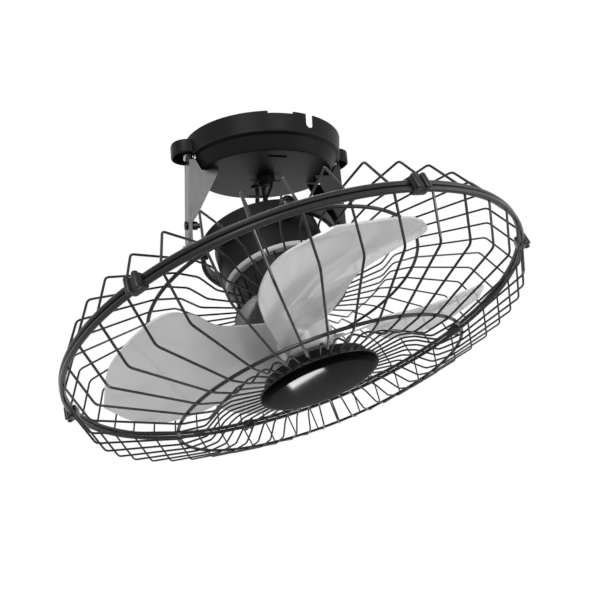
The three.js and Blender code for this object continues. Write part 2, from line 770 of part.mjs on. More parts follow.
place(head, 'gear_case', gearCase(), blackPaint());
place(head, 'gear_lid', gearLid(), blackPaint());
place(head, 'layshaft_gear', layshaftGear(), greyPlastic());
place(head, 'crank_shaft', crankShaft(), steel());
place(head, 'crank_arm', crankArm(), steel());
place(head, 'motor_grommet', motorGrommet(), rubber());

// ---------------------------------------------------------------- supply cord

// hand-laid route from the canopy's grommet to the motor's
const cordRoute = [
  [0, 38, -41.5],
  [0, 38, -50],
  [-1, 45, -70],
  [-3.5, 60, -90],
  [-5, 67.3, -106],
  [-3.8, 63, -118.2],
];

function supplyCord() {
  const path = new THREE.CatmullRomCurve3(cordRoute.map((point) => new THREE.Vector3(...point)));
  const section = polygon([0, 1, 2, 3, 4, 5, 6, 7].map((i) => [
    2.8 * Math.cos(45 * i * degree),
    2.8 * Math.sin(45 * i * degree),
  ]));
  return solid(new THREE.ExtrudeGeometry(section, { steps: 12, bevelEnabled: false, extrudePath: path }));
}

place(fan, 'supply_cord', supplyCord(), rubber());

// ---------------------------------------------------------------- guards

// a bent wire: it runs straight between its corners
class BentWire extends THREE.Curve {
  constructor(corners) {
    super();
    this.corners = corners;
  }

  getPointAt(u, target = new THREE.Vector3()) {
    const along = u * (this.corners.length - 1);
    const i = Math.min(Math.floor(along + 1e-9), this.corners.length - 2);
    return target.lerpVectors(this.corners[i], this.corners[i + 1], along - i);
  }

  getTangentAt(u, target = new THREE.Vector3()) {
    const step = 0.4 / (this.corners.length - 1);
    const before = this.getPointAt(Math.max(u - step, 0));
    const after = this.getPointAt(Math.min(u + step, 1));
    return target.subVectors(after, before).normalize();
  }
}

// heights here are measured ahead of the ring plane, as [radius, height] corners
const rimOffset = rimWire + gap / 2;
const frontWireCorners = [
  [rimRadius, rimOffset], [232.3, 40.6], [midRingFront, 60.6], [130, 61], [106, 44.8], [hubRingFront, 44],
];
const rearWireCorners = [
  [rimRadius, -rimOffset], [236, -40.7], [midRingRear, -61.8], [133, -63], [114, -51.5], [66, -49.6],
];

function ringWire(radius, height, wire, sides) {
  const z = ringPlane - height;
  const profile = [];
  for (let i = 0; i <= sides; i += 1) {
    const angle = (i / sides) * 2 * Math.PI;
    profile.push([radius + wire * Math.cos(angle), z + wire * Math.sin(angle)]);
  }
  return turned(profile, rimSides);
}

function guardWires(corners) {
  const points = corners.map(([radius, height]) => new THREE.Vector3(radius, 0, ringPlane - height));
  const section = polygon([0, 1, 2].map((i) => [
    guardWire * Math.cos((120 * i + 60) * degree),
    guardWire * Math.sin((120 * i + 60) * degree),
  ]));
  const wires = [];
  for (let i = 0; i < wireCount; i += 1) {
    const options = { steps: corners.length - 1, bevelEnabled: false, extrudePath: new BentWire(points) };
    const angle = i * (360 / wireCount) - wirePhase;
    wires.push(solid(new THREE.ExtrudeGeometry(section, options).rotateZ(angle * degree)));
  }
  return wires;
}

function frontGuard() {
  return join(
    ringWire(rimRadius, rimOffset, rimWire, 4),
    ringWire(midRingFront, 60.6, 1.6, 3),
    ringWire(hubRingFront, 44, 1.6, 3),
    ...guardWires(frontWireCorners),
  );
}

function rearGuard() {
  const plateTop = frontCoverEnd - gap;
  const plate = tube(68, collarRadius + gap, plateTop - 2, plateTop, wireCount);
  return join(
    ringWire(rimRadius, -rimOffset, rimWire, 4),
    ringWire(midRingRear, -61.8, 2, 3),
    plate,
    ...guardWires(rearWireCorners),
  );
}

function guardNut() {
  const top = frontCoverEnd - gap - 2 - gap;
  const knobs = [];
  for (let i = 0; i < 6; i += 1) {
    knobs.push(solid(turnedGeometry(4, 3.4, 'z', 8).translate(31, 0, top - 1.7).rotateZ(60 * i * degree)));
  }
  return join(tube(33, collarRadius, top - 3.4, top, 20), ...knobs);
}

// a spring clip that grips both rims
function rimClip(angle) {
  const block = box([13, 10, 19], [rimRadius + 0.5, 0, ringPlane]);
  const slot = box([2 * rimWire + 1.8, 20, 4 * rimWire + 1.6], [rimRadius, 0, ringPlane]);
  const tongue = box([5, 7, 12], [rimRadius + 8.5, 0, ringPlane + 6]);
  return cut(join(block, tongue), slot).rotate([0, 0, -(angle + headTurn)]);
}

const clipAngles = [30, 80, 131.5, 185.5, 259.5, 341];

place(head, 'rear_guard', rearGuard(), blackPaint());
place(head, 'front_guard', frontGuard(), blackPaint());
place(head, 'guard_nut', guardNut(), blackPlastic());
clipAngles.forEach((angle, i) => place(head, `rim_clip_${i + 1}`, rimClip(angle), blackPaint()));

// ---------------------------------------------------------------- badge

function badgeCap() {
  const back = ringPlane - 45.8;
  const front = ringPlane - badgeHeight;
  return turned([
    [0, back], [badgeRadius - 1, back], [badgeRadius, back - 1], [badgeRadius - 6, front],
    [30, front - 0.8], [0, front - 1],
  ], 36);
}

function badgeDish() {
  const face = ringPlane - 42.3;
  const shell = turned([
    [0, face + 10], [44, face + 12], [57, face + 8], [61, face], [58.5, face], [54, face + 6],
    [43, face + 9.6], [8, face + 8], [8, face - 3.2], [0, face - 3.2],
  ], 24);
  return cut(shell, bar(2.3, 40, 'z', [0, 0, face], 12));
}

function badgeScrew() {
  const seat = ringPlane - 42.3 + 12 + gap;
  return join(bar(2, 13, 'z', [0, 0, seat - 6.2], 12), bar(4.5, 2.5, 'z', [0, 0, seat + 1.25], 16));
}

place(head, 'badge_cap', badgeCap(), blackPlastic());
place(head, 'badge_dish', badgeDish(), blackPlastic());
place(head, 'badge_screw', badgeScrew(), steel());

// ---------------------------------------------------------------- propeller

// blade edges from the hub to the tip: [radius, angle in degrees, height ahead of the ring plane]
const leadingEdge = [
  [26, 172, 13], [68, 131, 15], [107, 123, 16], [145, 119, 19], [184, 115, 16], [209, 107.5, 8], [221, 95, 3],
];
const trailingEdge = [
  [26, 15, -20], [68, 57, -21], [107, 63.5, -24], [145, 57, -26], [184, 57.5, -19], [209, 74, -5.5],
  [221, 95, 3],
];
const bladeThickness = 1.5;

function edgeCurve(edge) {
  return new THREE.CatmullRomCurve3(edge.map(([radius, angle, height]) => {
    const turn = -(angle + headTurn) * degree;
    return new THREE.Vector3(radius * Math.cos(turn), radius * Math.sin(turn), ringPlane - height);
  }));
}

function blade(turn) {
  const lead = edgeCurve(leadingEdge);
  const trail = edgeCurve(trailingEdge);
  const front = new THREE.Vector3();
  const rear = new THREE.Vector3();
  const section = (u, v, target) => {
    lead.getPoint(v, front);
    trail.getPoint(v, rear);
    const around = 2 * Math.PI * u;
    const chord = v === 0 ? 0.5 : 0.5 - 0.5 * Math.cos(around);
    target.lerpVectors(front, rear, chord);
    target.z += v === 0 ? 0 : bladeThickness * Math.sin(around) * Math.min(1, 8 * (1 - v));
  };
  return solid(new ParametricGeometry(section, 6, 8).rotateZ(turn));
}

function propeller() {
  const rear = ringPlane + hubRear;
  const front = ringPlane - hubFront;
  const hub = turned([
    [0, rear], [hubRadius - 2, rear], [hubRadius, rear - 2], [hubRadius, front + 6], [hubRadius - 5, front],
    [0, front],
  ], 24);
  const blades = [];
  for (let i = 0; i < bladeCount; i += 1) blades.push(blade(i * 2 * Math.PI / bladeCount));
  return cut(join(hub, ...blades), bar(shaftRadius + gap, 120, 'z', [0, 0, rear]));
}

function spinnerNut() {
  const top = ringPlane - hubFront - gap;
  return cut(
    join(bar(13, 6, 'z', [0, 0, top - 3], 16), bar(9, 4, 'z', [0, 0, top - 6.5], 6)),
    bar(shaftRadius + gap, 40, 'z', [0, 0, top]),
  );
}

place(head, 'propeller', propeller(), greyPlastic());
place(head, 'spinner_nut', spinnerNut(), blackPlastic());

export default fan;
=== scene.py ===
# %% [markdown]
# # An orbital ceiling fan
# A cup canopy sits on the ceiling. Two sheet-steel arms hang from it and carry a gimbal ring, and
# the motor swings inside that ring. A crank on the back of the motor leads the whole head round
# in a cone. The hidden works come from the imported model; this lesson builds what shows.

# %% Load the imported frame
import math

import bmesh
import bpy
from mathutils import Matrix, Quaternion, Vector


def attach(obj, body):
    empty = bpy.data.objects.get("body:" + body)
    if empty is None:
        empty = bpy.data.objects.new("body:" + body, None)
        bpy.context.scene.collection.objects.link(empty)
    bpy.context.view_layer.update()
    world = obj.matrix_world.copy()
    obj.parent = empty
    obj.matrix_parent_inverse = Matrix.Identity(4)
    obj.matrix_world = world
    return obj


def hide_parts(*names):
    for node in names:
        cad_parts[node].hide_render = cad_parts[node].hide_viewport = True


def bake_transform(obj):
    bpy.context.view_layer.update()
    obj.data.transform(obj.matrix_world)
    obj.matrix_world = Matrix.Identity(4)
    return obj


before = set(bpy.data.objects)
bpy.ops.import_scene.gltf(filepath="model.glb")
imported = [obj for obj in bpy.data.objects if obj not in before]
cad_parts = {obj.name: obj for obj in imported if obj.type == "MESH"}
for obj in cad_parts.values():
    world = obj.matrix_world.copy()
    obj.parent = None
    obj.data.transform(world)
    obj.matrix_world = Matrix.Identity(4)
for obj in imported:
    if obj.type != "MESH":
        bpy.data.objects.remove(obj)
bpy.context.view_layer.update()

# %% [markdown]
# ## Where things are
# The head is drawn along its own axis, and one matrix carries it to its place. The matrix is the
# two tilts that the gimbal allows: first about the arms' pivots, then about the motor's own.

# %% Placing matrices
MM = 0.001
SWING_CENTRE = Vector((0, 7, -130)) * MM
TILT_ABOUT_ARMS = math.radians(-23.74)
TILT_ACROSS_ARMS = math.radians(-6.47)
WORLD = Matrix.Identity(4)
GIMBAL = Matrix.Translation(SWING_CENTRE) @ Matrix.Rotation(TILT_ABOUT_ARMS, 4, "X")
HEAD = GIMBAL @ Matrix.Rotation(TILT_ACROSS_ARMS, 4, "Y")
RING_PLANE = -131.2                    # plane of the guards' rims, mm along the head's axis
HEAD_TURN = 7.5                        # from the blades' zero to the head's own X, degrees
print("head's axis points at", [round(x, 3) for x in HEAD.to_3x3() @ Vector((0, 0, -1))])

# %% [markdown]
# ## The camera
# A fan on a ceiling is looked up at, from a step away and a little below. A short lens from close
# by makes the near rim of the guard large and the canopy small.

# %% Camera
CAMERA_PLACE = Vector((-200.4, -592.7, -269.5)) * MM
CAMERA_HEADING = 0.371                 # radians from +Y towards +X
CAMERA_PITCH = 0.119
CAMERA_ROLL = -0.096
PICTURE_WIDTH = 600
FOCAL_PIXELS = 526.3

forward = Vector((
    math.sin(CAMERA_HEADING) * math.cos(CAMERA_PITCH),
    math.cos(CAMERA_HEADING) * math.cos(CAMERA_PITCH),
    math.sin(CAMERA_PITCH),
))
camera = bpy.data.objects.new("camera", bpy.data.cameras.new("camera"))
bpy.context.scene.collection.objects.link(camera)
camera.rotation_mode = "QUATERNION"
camera.location = CAMERA_PLACE
camera.rotation_quaternion = forward.to_track_quat("-Z", "Y") @ Quaternion((0, 0, 1), CAMERA_ROLL)
camera.data.sensor_width = 36
camera.data.lens = 36 * FOCAL_PIXELS / PICTURE_WIDTH
camera.data.clip_start = 0.01
bpy.context.scene.camera = camera
print("lens, mm:", round(camera.data.lens, 2))

# %% [markdown]
# ## Finishes
# Every finish starts from the real material and how its surface was made. The patterns are in
# millimetres on the piece itself, so they stay put when the piece moves.

# %% Helpers for the finishes
def linear(hex_colour):
    """A screen colour such as 2a2a2c as the linear values that a shader wants."""
    shares = [int(hex_colour[i:i + 2], 16) / 255 for i in (0, 2, 4)]
    bent = [c / 12.92 if c <= 0.04045 else ((c + 0.055) / 1.055) ** 2.4 for c in shares]
    return (*bent, 1)


def add(tree, kind, inputs=None, **settings):
    """Adds a node. An input is either a value or another node's output."""
    node = tree.nodes.new(kind)
    for name, value in settings.items():
        setattr(node, name, value)
    for name, value in (inputs or {}).items():
        if isinstance(value, bpy.types.NodeSocket):
            tree.links.new(value, node.inputs[name])
        else:
            node.inputs[name].default_value = value
    return node


def finish_of(name, dark, light, roughness, spread, grain, bump, patch=14.0, stretch=(1, 1, 1), **shader):
    """A surface whose colour drifts from dark to light in soft patches, with a fine grain.

    grain and patch are the sizes of the grain and the patches in mm, bump is the grain's height in
    mm, and spread is how far the roughness wanders.
    """
    material = bpy.data.materials.new(name)
    material.use_nodes = True
    tree = material.node_tree
    body = tree.nodes["Principled BSDF"]
    for socket, value in {"Metallic": 0.0, **shader}.items():
        body.inputs[socket].default_value = value
    place = add(tree, "ShaderNodeTexCoord").outputs["Object"]
    turned_place = add(tree, "ShaderNodeMapping", {"Vector": place, "Scale": stretch}).outputs[0]
    patches = add(tree, "ShaderNodeTexNoise", {"Vector": place, "Scale": 1 / (patch * MM), "Detail": 3.0})
    fine = add(tree, "ShaderNodeTexNoise", {"Vector": turned_place, "Scale": 1 / (grain * MM), "Detail": 2.0})
    colour = add(tree, "ShaderNodeMix", {0: patches.outputs[0]}, data_type="RGBA")
    colour.inputs[6].default_value = linear(dark)
    colour.inputs[7].default_value = linear(light)
    tree.links.new(colour.outputs[2], body.inputs["Base Color"])
    gloss = add(tree, "ShaderNodeMapRange", {
        0: fine.outputs[0], 3: roughness - spread, 4: roughness + spread})
    tree.links.new(gloss.outputs[0], body.inputs["Roughness"])
    relief = add(tree, "ShaderNodeBump", {
        "Height": fine.outputs[0], "Distance": bump * MM, "Strength": 1.0})
    tree.links.new(relief.outputs[0], body.inputs["Normal"])
    return material

# %% [markdown]
# Powder coat is baked on in a thick skin, and shows orange peel about 1.5 mm wide. Enamel on the
# wires is thinner and runs smoother. The moulded black parts are ABS with a spark-eroded grain.

# %% Paints and plastics
# polyester powder coat, satin: a half-matt skin with orange peel
black_paint = finish_of("satin_powder_coat", "0f0f10", "141415", 0.42, 0.06, 1.5, 0.012,
                        **{"Specular IOR Level": 0.09})
# on the flat sheet of the arms the same coat flows out and sets smoother
arm_paint = finish_of("smooth_powder_coat", "101011", "151516", 0.30, 0.05, 2.5, 0.004,
                      **{"Specular IOR Level": 0.3})
# the same coat in grey on the pressed bearing plate
grey_paint = finish_of("grey_powder_coat", "8f8f90", "a3a3a4", 0.42, 0.06, 1.5, 0.02)
# dipped enamel on drawn steel wire: smoother and a little glossier than powder
black_wire = finish_of("dipped_wire_enamel", "131314", "1c1c1d", 0.27, 0.04, 6.0, 0.001,
                       **{"Specular IOR Level": 0.25})
# injection-moulded ABS with a fine spark-eroded grain
black_plastic = finish_of("moulded_black_abs", "0c0c0d", "101011", 0.38, 0.06, 0.8, 0.01,
                          **{"Specular IOR Level": 0.12})
# ABS from a polished mould, as glossy as a piano key
gloss_black = finish_of("polished_black_abs", "030303", "050505", 0.08, 0.02, 3.0, 0.0005,
                        **{"Specular IOR Level": 0.005})
# styrene-acrylonitrile blades: glossy and even, with a hint of the mould's flow
grey_blade = finish_of("moulded_grey_san", "b0b0b1", "bbbbbc", 0.20, 0.04, 6.0, 0.01, patch=70.0,
                       stretch=(1, 0.4, 1), **{"Coat Weight": 0.35, "Coat Roughness": 0.06})
# glass-filled nylon, off white and dull
white_plastic = finish_of("offwhite_nylon", "cfcdc4", "dcdad2", 0.5, 0.05, 0.8, 0.01)
# vulcanised rubber and the PVC jacket of the cord
rubber = finish_of("black_rubber", "161616", "202021", 0.62, 0.06, 0.7, 0.02)

# %% [markdown]
# Zinc plate, black oxide, brass and enamelled copper are metals: their colour is the colour of
# what they reflect, so they are light or tinted, and fully metallic.

# %% Metals
# bright zinc plate over turned steel: fine lines from the tool run round or along the piece
steel = finish_of("zinc_plated_steel", "a9abad", "c0c2c4", 0.32, 0.08, 0.5, 0.004,
                  stretch=(1, 1, 6), Metallic=1.0)
# black oxide on screws: a dark metal with an oily half gloss
black_steel = finish_of("black_oxide_steel", "2c2c2e", "3a3a3c", 0.38, 0.08, 0.6, 0.004, Metallic=1.0)
# turned bearing brass, dulled by handling
brass = finish_of("turned_brass", "b28b45", "c59f58", 0.33, 0.08, 0.5, 0.004,
                  stretch=(6, 1, 1), Metallic=1.0)
# enamelled magnet wire, drawn as coarse lines so that the turns show
copper = finish_of("enamelled_copper", "8a4424", "b0623a", 0.34, 0.1, 0.9, 0.2,
                   stretch=(0.15, 0.15, 1), Metallic=1.0)
print(len(bpy.data.materials), "finishes")

# %% [markdown]
# ## Tools for the shapes
# Most of a fan is turned, pressed or bent. One helper spins an outline round the head's axis,
# one extrudes a flat outline, one sweeps a wire along a bent path, and one cuts or joins shapes.

# %% Shape helpers
def sharp_edges(bm, angle=25):
    """The edges where two faces meet at more than that many degrees."""
    limit = math.radians(angle)
    return [e for e in bm.edges if len(e.link_faces) == 2 and e.calc_face_angle(0) > limit]


def soften(bm, width, segments=2, angle=25):
    """Rounds every sharp edge to that width in mm."""
    bmesh.ops.bevel(bm, geom=sharp_edges(bm, angle), offset=width * MM, segments=segments,
                    profile=0.5, affect="EDGES", clamp_overlap=True, material=-1)


def turned(outline, steps=128, soft=0.5, loop=True):
    """Spins an outline of (radius, height) points in mm a full turn about Z."""
    bm = bmesh.new()
    points = [bm.verts.new((radius * MM, 0, height * MM)) for radius, height in outline]
    ends = zip(points, points[1:] + points[:1]) if loop else zip(points, points[1:])
    lines = [bm.edges.new(pair) for pair in ends]
    bmesh.ops.spin(bm, geom=points + lines, axis=(0, 0, 1), cent=(0, 0, 0), angle=2 * math.pi,
                   steps=steps, use_merge=True)
    bmesh.ops.remove_doubles(bm, verts=bm.verts, dist=1e-6)
    bmesh.ops.recalc_face_normals(bm, faces=bm.faces)
    if soft:
        soften(bm, soft)
    return bm


def ring(outer, inner, bottom, top, steps=96, soft=0.4):
    return turned([(inner, bottom), (outer, bottom), (outer, top), (inner, top)], steps, soft)


def rod(radius, start, end, soft=0.3, steps=32):
    return turned([(0, start), (radius, start), (radius, end), (0, end)], steps, soft, loop=False)


def pressed(outline, bottom, top, corner=0.0, soft=0.5, corner_steps=6):
    """A flat outline in X and Y, with rounded corners, made thick along Z."""
    bm = bmesh.new()
    face = bm.faces.new([bm.verts.new((x * MM, y * MM, bottom * MM)) for x, y in outline])
    if corner:
        bmesh.ops.bevel(bm, geom=face.verts[:], offset=corner * MM, segments=corner_steps,
                        profile=0.5, affect="VERTICES", clamp_overlap=True, material=-1)
    made = bmesh.ops.extrude_face_region(bm, geom=bm.faces[:])
    lifted = [v for v in made["geom"] if isinstance(v, bmesh.types.BMVert)]
    bmesh.ops.translate(bm, verts=lifted, vec=(0, 0, (top - bottom) * MM))
    bmesh.ops.recalc_face_normals(bm, faces=bm.faces)
    if soft:
        soften(bm, soft, 2, 40)
    return bm


def block(size, middle, soft=0.3):
    """A bevelled block of that size in mm, with its middle at a point."""
    x, y = size[0] / 2, size[1] / 2
    bm = pressed([(-x, -y), (x, -y), (x, y), (-x, y)], -size[2] / 2, size[2] / 2, 0, soft)
    bmesh.ops.translate(bm, verts=bm.verts, vec=Vector(middle) * MM)
    return bm


def rounded_path(corners, reach):
    """The points of a path, with one more a little before and after each corner."""
    points = [Vector(corners[0])]
    for before, at, after in zip(corners, corners[1:], corners[2:]):
        before, at, after = Vector(before), Vector(at), Vector(after)
        for end in (before, after):
            side = end - at
            near = at + side.normalized() * min(reach, side.length * 0.45)
            if end is before:
                points += [near, at]
            else:
                points.append(near)
    return points + [Vector(corners[-1])]


def swept(points, radius, sides=8, smoothness=4):
    """A round wire of that radius in mm that follows points in mm, bent smoothly."""
    curve = bpy.data.curves.new("path", "CURVE")
    curve.dimensions = "3D"
    spline = curve.splines.new("NURBS")
    spline.points.add(len(points) - 1)
    for target, point in zip(spline.points, points):
        target.co = (*(Vector(point) * MM), 1)
    spline.order_u = 3
    spline.use_endpoint_u = True
    spline.resolution_u = smoothness
    curve.bevel_depth = radius * MM
    curve.bevel_resolution = (sides - 4) // 2
    curve.use_fill_caps = True
    holder = bpy.data.objects.new("path", curve)
    bpy.context.scene.collection.objects.link(holder)
    bpy.context.view_layer.update()
    evaluated = holder.evaluated_get(bpy.context.evaluated_depsgraph_get())
    mesh = bpy.data.meshes.new_from_object(evaluated)
    bpy.data.objects.remove(holder)
    bpy.data.curves.remove(curve)
    bm = bmesh.new()
    bm.from_mesh(mesh)
    bpy.data.meshes.remove(mesh)
    bmesh.ops.remove_doubles(bm, verts=bm.verts, dist=1e-6)
    bmesh.ops.recalc_face_normals(bm, faces=bm.faces)
    return bm


def hoop(radius, height, wire, steps=176, sides=10):
    """A ring of round wire about Z."""
    bm = bmesh.new()
    upright = Matrix.Translation((radius * MM, 0, height * MM)) @ Matrix.Rotation(math.pi / 2, 4, "X")
    bmesh.ops.create_circle(bm, segments=sides, radius=wire * MM, matrix=upright)
    bmesh.ops.spin(bm, geom=bm.verts[:] + bm.edges[:], axis=(0, 0, 1), cent=(0, 0, 0),
                   angle=2 * math.pi, steps=steps, use_merge=True)
    bmesh.ops.remove_doubles(bm, verts=bm.verts, dist=1e-6)
    bmesh.ops.recalc_face_normals(bm, faces=bm.faces)
    return bm


def round_about(bm, count):
    """Repeats what is in bm count times, evenly about Z."""
    bmesh.ops.spin(bm, geom=bm.verts[:] + bm.edges[:] + bm.faces[:], axis=(0, 0, 1), cent=(0, 0, 0),
                   angle=2 * math.pi * (count - 1) / count, steps=count - 1, use_duplicate=True)
    return bm


def turn(bm, degrees, axis="Z"):
    bmesh.ops.transform(bm, matrix=Matrix.Rotation(math.radians(degrees), 4, axis), verts=bm.verts)
    return bm


def moved(bm, x, y, z):
    bmesh.ops.translate(bm, verts=bm.verts, vec=Vector((x, y, z)) * MM)
    return bm


def smooth_point(knots, share):
    """A point on the smooth curve through some knots, share running from 0 to 1."""
    along = share * (len(knots) - 1)
    i = min(int(along), len(knots) - 2)
    t = along - i
    knots = [2 * knots[0] - knots[1], *knots, 2 * knots[-1] - knots[-2]]
    a, b, c, d = knots[i:i + 4]
    return 0.5 * (2 * b + (c - a) * t + (2 * a - 5 * b + 4 * c - d) * t * t
                  + (3 * b - a - 3 * c + d) * t ** 3)


def gather(*shapes):
    """Puts several shapes into one mesh."""
    whole = bmesh.new()
    for bm in shapes:
        mesh = bpy.data.meshes.new("part")
        bm.to_mesh(mesh)
        bm.free()
        whole.from_mesh(mesh)
        bpy.data.meshes.remove(mesh)
    return whole


def as_object(bm, name):
    mesh = bpy.data.meshes.new(name)
    bm.to_mesh(mesh)
    bm.free()
    made = bpy.data.objects.new(name, mesh)
    bpy.context.scene.collection.objects.link(made)
    return made


def worked(bm, tool, operation="DIFFERENCE"):
    """Cuts a tool out of a shape, or joins it on."""
    base, cutter = as_object(bm, "base"), as_object(tool, "cutter")
    step = base.modifiers.new("cut", "BOOLEAN")
    step.operation, step.solver, step.object = operation, "MANIFOLD", cutter
    evaluated = base.evaluated_get(bpy.context.evaluated_depsgraph_get())
    result = bmesh.new()
    result.from_mesh(evaluated.to_mesh())
    evaluated.to_mesh_clear()
    for spent in (base, cutter):
        mesh = spent.data
        bpy.data.objects.remove(spent)
        bpy.data.meshes.remove(mesh)
    return result


def hand_over(bm, name, body, paint, stands_for=(), place=WORLD, smooth=35):
    """Makes a finished piece: in its place, painted, riding on its body.

    Weighted normals keep a flat face flat up to its rounded edges, so that it reflects as sheet does.
    """
    bmesh.ops.transform(bm, matrix=place, verts=bm.verts)
    made = as_object(bm, name)
    made.data.polygons.foreach_set("use_smooth", [True] * len(made.data.polygons))
    made.data.set_sharp_from_angle(angle=math.radians(smooth))
    made.data.materials.append(paint)
    weights = made.modifiers.new("flat faces stay flat", "WEIGHTED_NORMAL")
    weights.keep_sharp = True
    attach(made, body)
    if stands_for:
        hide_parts(*([stands_for] if isinstance(stands_for, str) else stands_for))
    print(f"{name}: {len(made.data.polygons)} faces")
    return made


def refined(node, body, paint, width):
    """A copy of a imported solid, its doubles merged and its sharp edges rounded to a width in mm."""
    bm = bmesh.new()
    bm.from_mesh(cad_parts[node].data)
    bmesh.ops.remove_doubles(bm, verts=bm.verts, dist=2e-6)
    bmesh.ops.dissolve_limit(bm, angle_limit=math.radians(1), verts=bm.verts, edges=bm.edges)
    bmesh.ops.recalc_face_normals(bm, faces=bm.faces)
    soften(bm, width, 2, 40)
    return hand_over(bm, f"{node}_made", body, paint, node)

# %% [markdown]
# ## The canopy
# The canopy is one deep-drawn steel cup: a steep wall, a small bead, a sloping shoulder and a
# flat floor. An ear is pressed out on each side to cover the head of an arm. A spun outline gives
# the cup, and the ears, their hollows and the slots are joined and cut.

# %% Canopy
CANOPY_RIM = 95.6                      # radius at the ceiling
CANOPY_DEPTH = 38.8
SHEET = 2.0                            # canopy steel, mm
STEM_HOLE = 6.3
EAR_REACH, EAR_HALF, EAR_TOP, EAR_BOTTOM = 112, 22, -5, -20.5
EAR_CORNER = 19
TONGUE_HALF = 16.5                     # half width of an arm's head
TAB_X = 92.2                           # outer face of the cross bar's turned-down ends
CORD_HOLE_Y, CORD_HOLE_RADIUS = 38, 5.3
KEYHOLE_X, KEYHOLE_RADIUS = 26, 4.5

cup = turned([
    (CANOPY_RIM, -1), (93.4, -20.6), (93.9, -21.6), (93.6, -22.8), (92.2, -23.6), (89.2, -24.2),
    (82.6, -36.8), (80.6, -CANOPY_DEPTH), (STEM_HOLE, -CANOPY_DEPTH), (STEM_HOLE, SHEET - CANOPY_DEPTH),
    (79.9, SHEET - CANOPY_DEPTH), (87, -23.4), (91.4, -19), (CANOPY_RIM - SHEET, -1),
], 144, 0.7)


def ear(reach, half, inner, bottom, top, corner, side):
    """A block that reaches out along X on one side, with rounded outer corners."""
    outline = [(inner, -half), (reach, -half), (reach, half), (inner, half)]
    bm = pressed(outline, bottom, top, 0, 0)
    upright = [e for e in bm.edges
               if abs(e.verts[0].co.z - e.verts[1].co.z) > 1e-6 and e.verts[0].co.x > (inner + 1) * MM]
    bmesh.ops.bevel(bm, geom=upright, offset=corner * MM, segments=8, profile=0.5, affect="EDGES",
                    clamp_overlap=True, material=-1)
    if side < 0:
        turn(bm, 180)
    return bm


EAR_ROOT = 84                          # where the ears start inside the cup's wall
ears = [ear(EAR_REACH, EAR_HALF, EAR_ROOT, EAR_BOTTOM, EAR_TOP, EAR_CORNER, side) for side in (-1, 1)]
for shell in ears:
    soften(shell, 1.6, 3, 40)
cup = worked(cup, gather(*ears), "UNION")
cuts = []
for side in (-1, 1):
    cuts.append(ear(EAR_REACH - SHEET, EAR_HALF - SHEET, EAR_ROOT, -24, EAR_TOP - SHEET, EAR_CORNER - SHEET,
                    side))
    cuts.append(block((4.6, 2 * TONGUE_HALF + 3, 30), (side * (TAB_X + 2), 0, -26), 0))
    cuts.append(block((9, 2 * TONGUE_HALF + 1, 24.5), (side * (TAB_X - 3.7), 0, -13.2), 0))
cuts.append(pressed([(-17, -67.2), (6, -67.2), (6, -60.8), (-17, -60.8)], -45, -30, 2.4, 0))
cuts.append(moved(rod(CORD_HOLE_RADIUS, -45, -30, 0), 0, CORD_HOLE_Y, 0))
cuts.append(block((2 * KEYHOLE_RADIUS, 20, 19), (KEYHOLE_X, -CANOPY_RIM, -1.5), 0))
cuts.append(moved(turn(rod(KEYHOLE_RADIUS, -10, 10, 0), 90, "X"), KEYHOLE_X, -CANOPY_RIM, -11))
cuts.append(block((28, 20, 7), (-8, -CANOPY_RIM, 0), 0))
for tool in cuts:
    cup = worked(cup, tool)
hand_over(cup, "canopy_shell", "mounting", black_paint, "canopy", smooth=30)

# %% [markdown]
# ## The arms
# Each arm is a channel of 2.5 mm sheet: a web that leans out a little and two flanges that taper
# down to the pivot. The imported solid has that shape, so a copy gets rounded bends. The flanges are
# flat and smooth, and the near left one mirrors a lamp.

# %% Arms and the plate on the ceiling
for side in ("left", "right"):
    refined(f"arm_{side}", "mounting", arm_paint, 0.7)
for node in ("ceiling_plate", "cross_bar"):
    refined(node, "mounting", steel, 0.4)

# %% [markdown]
# ## Screws, bolts and nuts
# A screw is a turned shank with a head that has a drive in it, and a hexagon is a circle with six
# corners, chamfered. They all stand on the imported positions.

# %% Screw maker
def hexagon(across_flats, bottom, top, hole=0.0, soft=0.7):
    """A chamfered hexagon along Z."""
    bm = bmesh.new()
    corner = across_flats / math.sqrt(3) * MM
    bmesh.ops.create_cone(bm, cap_ends=True, segments=6, radius1=corner, radius2=corner,
                          depth=(top - bottom) * MM)
    bmesh.ops.translate(bm, verts=bm.verts, vec=(0, 0, (top + bottom) / 2 * MM))
    soften(bm, soft, 2, 40)
    if hole:
        bm = worked(bm, rod(hole, bottom - 2, top + 2, 0, 48))
    return bm


def pan_head(radius, height, start, direction=1):
    """A domed head with a cross drive, that stands on height start along Z."""
    end = start + direction * height
    bm = turned([(0, start), (radius, start), (radius, start + direction * height * 0.45),
                 (radius * 0.72, start + direction * height * 0.85), (0, end)], 40, 0.35, loop=False)
    for angle in (0, 90):
        slot = turn(block((radius * 1.1, radius * 0.24, height), (0, 0, end), 0), angle)
        bm = worked(bm, slot)
    return bm


def along_x(bm, side, y, z):
    """Turns a piece that was drawn along Z so that it points out along X on one side."""
    turn(bm, 90 * side, "Y")
    return moved(bm, 0, y, z)

